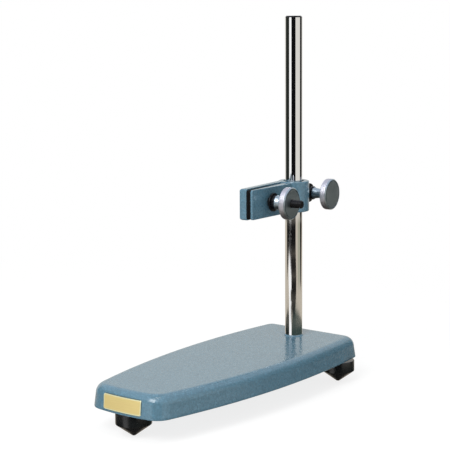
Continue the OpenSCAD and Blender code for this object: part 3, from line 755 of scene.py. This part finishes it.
def make_clamp():
    """Every piece that rides on the clamp, from the castings to the two knobs."""
    dress(soften("clamp_casting", "clamp_body", CASTING_VOXEL), "clamp", "paint", "clamp_body")
    make_moving_jaw()
    make_pad("fixed_pad", FIXED_FACE, "clamp", "fixed_jaw_pad")
    make_pad("moving_pad", MOVING_FACE - PAD_THICK, "jaw", "moving_jaw_pad")
    jaw_collar, pinch_collar = JAW_SEAT + WASHER, LUG_FACE + WASHER
    jaw_knob, pinch_knob = jaw_collar + JAW_COLLAR, pinch_collar + PINCH_COLLAR
    make_jaw_screw(FIXED_BACK, jaw_knob + JAW_NECK + KNOB_DISC + SCREW_END)
    ring_piece("jaw_washer", JAW_SEAT, JAW_SCREW_Y, JAW_WASHER_R, JAW_RING_BORE, WASHER, "jaw")
    ring_piece("jaw_collar", jaw_collar, JAW_SCREW_Y, JAW_COLLAR_R, JAW_RING_BORE,
               JAW_COLLAR - COLLAR_SLACK, "jaw")
    ring_piece("pinch_washer", LUG_FACE, PINCH_Y, PINCH_WASHER_R, PINCH_RING_BORE, WASHER, "pinch_seat")
    ring_piece("pinch_collar", pinch_collar, PINCH_Y, PINCH_COLLAR_R, PINCH_RING_BORE,
               PINCH_COLLAR, "pinch_seat")
    make_knob("jaw_knob_form", jaw_knob, JAW_SCREW_Y, "jaw_nut", KNOB_R, JAW_SCREW_R + THREAD_PLAY,
              False, JAW_NECK_R, JAW_NECK, "jaw_knob")
    make_knob("pinch_knob_form", pinch_knob, PINCH_Y, "pinch", PINCH_KNOB_R, PINCH_SCREW_R + THREAD_PLAY,
              True, PINCH_NECK_R, PINCH_NECK, "pinch_knob")


def paint_cad(slot, *names):
    """Gives carried-over CAD nodes their finish."""
    for name in names:
        mesh = NODES[name].data
        mesh.materials.clear()
        mesh.materials.append(SLOTS[slot])


make_stand()
make_clamp()
paint_cad("steel", "column_bolt", "column_washer", "foot_studs", "guide_pins")
paint_cad("bronze", "clamp_bush")
paint_cad("black_steel", "pinch_screw")

# Stage, light and camera

CAMERA_AT = Vector((0.741075, -0.953527, 0.351123))
YAW, PITCH, ROLL = math.radians(37.9423), math.radians(7.2926), math.radians(-0.3571)
LENS, SENSOR, SHIFT_Y = 112.092, 36.0, -0.1


def make_camera():
    data = bpy.data.cameras.new("camera")
    data.lens, data.sensor_width, data.shift_y = LENS, SENSOR, SHIFT_Y
    data.clip_start, data.clip_end = 0.05, 50.0
    cam = bpy.data.objects.new("camera", data)
    turn = Matrix.Rotation(YAW, 4, "Z") @ Matrix.Rotation(math.pi / 2 - PITCH, 4, "X")
    turn = turn @ Matrix.Rotation(ROLL, 4, "Z")
    cam.matrix_world = Matrix.Translation(CAMERA_AT) @ turn
    bpy.context.scene.collection.objects.link(cam)
    bpy.context.scene.camera = cam


# Half the floor's width in metres, its grey, the light added to it for the camera, and how much of that lit
# floor with its shadow the camera sees near the stand, fading out between two distances from its middle
FLOOR_HALF, FLOOR_GREY, FLOOR_LIFT, SHADOW, SHADOW_NEAR, SHADOW_FAR = 20, 0.7, 0.42, 0.32, 0.3, 0.75


def floor_material():
    """White to the camera, with the stand's shadow near it that fades out further away."""
    mat = bpy.data.materials.new("white_floor")
    mat.use_nodes = True
    n = Nodes(mat.node_tree)
    new = n.tree.nodes.new
    diffuse, white, lift = new("ShaderNodeBsdfDiffuse"), new("ShaderNodeEmission"), new("ShaderNodeEmission")
    diffuse.inputs[0].default_value = rgba([FLOOR_GREY] * 3)
    lift.inputs[1].default_value = FLOOR_LIFT
    lit = new("ShaderNodeAddShader")
    n.tree.links.new(diffuse.outputs[0], lit.inputs[0])
    n.tree.links.new(lift.outputs[0], lit.inputs[1])
    place = new("ShaderNodeNewGeometry").outputs["Position"]
    near = n.remap(n.vector("LENGTH", place), SHADOW_NEAR, SHADOW_FAR, SHADOW, 0.0)
    seen = n.mix_shader(near, white.outputs[0], lit.outputs[0])
    camera_ray = new("ShaderNodeLightPath").outputs["Is Camera Ray"]
    final = n.mix_shader(camera_ray, diffuse.outputs[0], seen)
    n.tree.links.new(final, new("ShaderNodeOutputMaterial").inputs[0])
    return mat


def make_floor():
    h = FLOOR_HALF
    bm = bmesh.new()
    bm.faces.new([bm.verts.new((x, y, 0)) for x, y in ((-h, -h), (h, -h), (h, h), (-h, h))])
    mesh = bpy.data.meshes.new("floor")
    bm.to_mesh(mesh)
    bm.free()
    floor = bpy.data.objects.new("floor", mesh)
    bpy.context.scene.collection.objects.link(floor)
    mesh.materials.append(floor_material())
    floor.visible_glossy = False


# Studio that glossy rays see round the stand, in place of the white background. The cards are placed for the
# stripes that the photo's column shows. Each stands between two turns (degrees to the right of the camera)
# at its top edge and two at its bottom edge, and between two elevations.
WALL, LOW_WALL = (0.80, 0.78, 0.73), (0.60, 0.54, 0.45)
OVERHEAD, UNDER = (0.76, 0.81, 0.94), (0.03, 0.03, 0.03)
BLACK_CARD, WHITE_CARD, GREY_CARD = (0.005, 0.005, 0.006), (1.12, 1.12, 1.12), (0.5, 0.53, 0.58)
DIM_CARD, OLIVE_CARD = (0.022, 0.026, 0.022), (0.42, 0.42, 0.33)
GREEN, DARK_GREEN = (0.035, 0.06, 0.055), (0.012, 0.02, 0.019)
CARDS = [
    ((-150, -65), (-128, -65), 90, -8.9, DIM_CARD),
    ((84, 126), (89, 131), 90, -8.9, BLACK_CARD),
    ((53, 87), (53, 87), -8.9, -11.65, OLIVE_CARD),
    ((89, 133), (96, 116), -8.9, -11.65, BLACK_CARD),
    ((-100, -75), (-140, -60), -12.6, -13.1, DARK_GREEN),
    ((-140, -60), (-140, -60), -13.1, -30, DARK_GREEN),
    ((0, 20), (-32, 150), -12.5, -13.1, GREEN),
    ((-32, 150), (-32, 150), -13.1, -30, GREEN),
    ((-63, -33), (-63, -33), 90, 3, GREY_CARD),
    ((-63, -33), (-63, -33), 3, -8.9, WHITE_CARD),
    ((-72, -58), (-76, -33), -10.3, -11.2, WHITE_CARD),
    ((-76, -33), (-66, -33), -11.2, -12.2, WHITE_CARD),
    ((-66, -33), (-62, -31), -12.2, -30, WHITE_CARD),
    ((-33, 20), (-33, 22), 90, -8.9, BLACK_CARD),
    ((-105, 24), (-105, 24), -8.9, -10.3, BLACK_CARD),
    ((-105, -73), (-100, -97), -10.3, -11.3, BLACK_CARD),
    ((-58, 24), (-33, 34), -10.3, -11.2, BLACK_CARD),
    ((-33, 34), (-33, 30), -11.2, -12.2, BLACK_CARD),
    ((-33, 30), (-31, 5), -12.2, -12.75, BLACK_CARD),
]

# Half-widths of the blur at a card's sides and at its other edges; a card this high has no upper edge
TURN_BLUR, RISE_BLUR, NO_TOP_EDGE = 1.5, 0.15, 80

# Elevations over which one backdrop passes into the next
WALL_FOOT, WALL_HEAD, ZENITH, NADIR = (-8.2, -9.2), (25, 38), (72, 80), (-38, -48)
AMBIENT, LAMPS_AIM = 0.6, Vector((0, 0, 0.12))


def card_mask(n, turn, rise, card):
    """1 inside a card and 0 outside it, with slightly blurred edges."""
    (left_high, right_high), (left_low, right_low), high, low, _ = card
    down = n.remap(rise, high, low)
    left_edge = n.math("ADD", left_high, n.math("MULTIPLY", down, left_low - left_high))
    right_edge = n.math("ADD", right_high, n.math("MULTIPLY", down, right_low - right_high))
    mask = n.math("MULTIPLY", n.remap(n.math("SUBTRACT", turn, left_edge), -TURN_BLUR, TURN_BLUR),
                  n.remap(n.math("SUBTRACT", right_edge, turn), -TURN_BLUR, TURN_BLUR))
    if high < NO_TOP_EDGE:
        mask = n.math("MULTIPLY", mask, n.remap(n.math("SUBTRACT", high, rise), -RISE_BLUR, RISE_BLUR))
    return n.math("MULTIPLY", mask, n.remap(n.math("SUBTRACT", rise, low), -RISE_BLUR, RISE_BLUR))


def make_world():
    """White for the camera, an even light on the stand, and the studio for glossy rays."""
    world = bpy.data.worlds.new("studio")
    bpy.context.scene.world = world
    world.use_nodes = True
    n = Nodes(world.node_tree)
    tree = n.tree
    way = tree.nodes.new("ShaderNodeTexCoord").outputs["Generated"]
    toward = (math.sin(YAW), -math.cos(YAW), 0)
    right = (math.cos(YAW), math.sin(YAW), 0)
    turn = n.math("ARCTAN2", n.vector("DOT_PRODUCT", way, right), n.vector("DOT_PRODUCT", way, toward))
    turn = n.math("DEGREES", turn)
    rise = n.math("DEGREES", n.math("ARCSINE", n.vector("DOT_PRODUCT", way, (0, 0, 1))))
    seen = n.mix(n.remap(rise, *WALL_FOOT), rgba(WALL), rgba(LOW_WALL))
    for card in CARDS:
        seen = n.mix(card_mask(n, turn, rise, card), seen, rgba(card[-1]))
    seen = n.mix(n.remap(rise, *WALL_HEAD), seen, rgba(OVERHEAD))
    seen = n.mix(n.remap(rise, *ZENITH), seen, rgba(UNDER))
    seen = n.mix(n.remap(rise, *NADIR), seen, rgba(UNDER))
    path = tree.nodes.new("ShaderNodeLightPath")
    shine, light, white = [tree.nodes.new("ShaderNodeBackground") for _ in range(3)]
    n.put(shine, 0, seen)
    n.put(light, 0, (1, 1, 1, 1))
    n.put(light, 1, AMBIENT)
    n.put(white, 0, (1, 1, 1, 1))
    mirrored = n.math("MAXIMUM", path.outputs["Is Glossy Ray"], path.outputs["Is Transmission Ray"])
    around = n.mix_shader(mirrored, light.outputs[0], shine.outputs[0])
    final = n.mix_shader(path.outputs["Is Camera Ray"], around, white.outputs[0])
    tree.links.new(final, tree.nodes.new("ShaderNodeOutputWorld").inputs[0])


def lamp(name, azimuth, elevation, distance, size, watts):
    """Soft lamp; azimuth 0 is in front of the stand and 90 on its right."""
    data = bpy.data.lights.new(name, "AREA")
    data.shape, data.size, data.energy = "SQUARE", size, watts
    obj = bpy.data.objects.new(name, data)
    a, e = math.radians(azimuth), math.radians(elevation)
    way = Vector((math.sin(a) * math.cos(e), -math.cos(a) * math.cos(e), math.sin(e)))
    obj.location = LAMPS_AIM + way * distance
    obj.rotation_mode = "QUATERNION"
    obj.rotation_quaternion = way.to_track_quat("Z", "Y")
    bpy.context.scene.collection.objects.link(obj)


make_camera()
make_floor()
make_world()
lamp("key", azimuth=6, elevation=42, distance=1.6, size=0.8, watts=16)
lamp("top_spark", azimuth=36, elevation=76, distance=1.2, size=0.22, watts=1.2)
bpy.context.scene.view_settings.view_transform = "Standard"
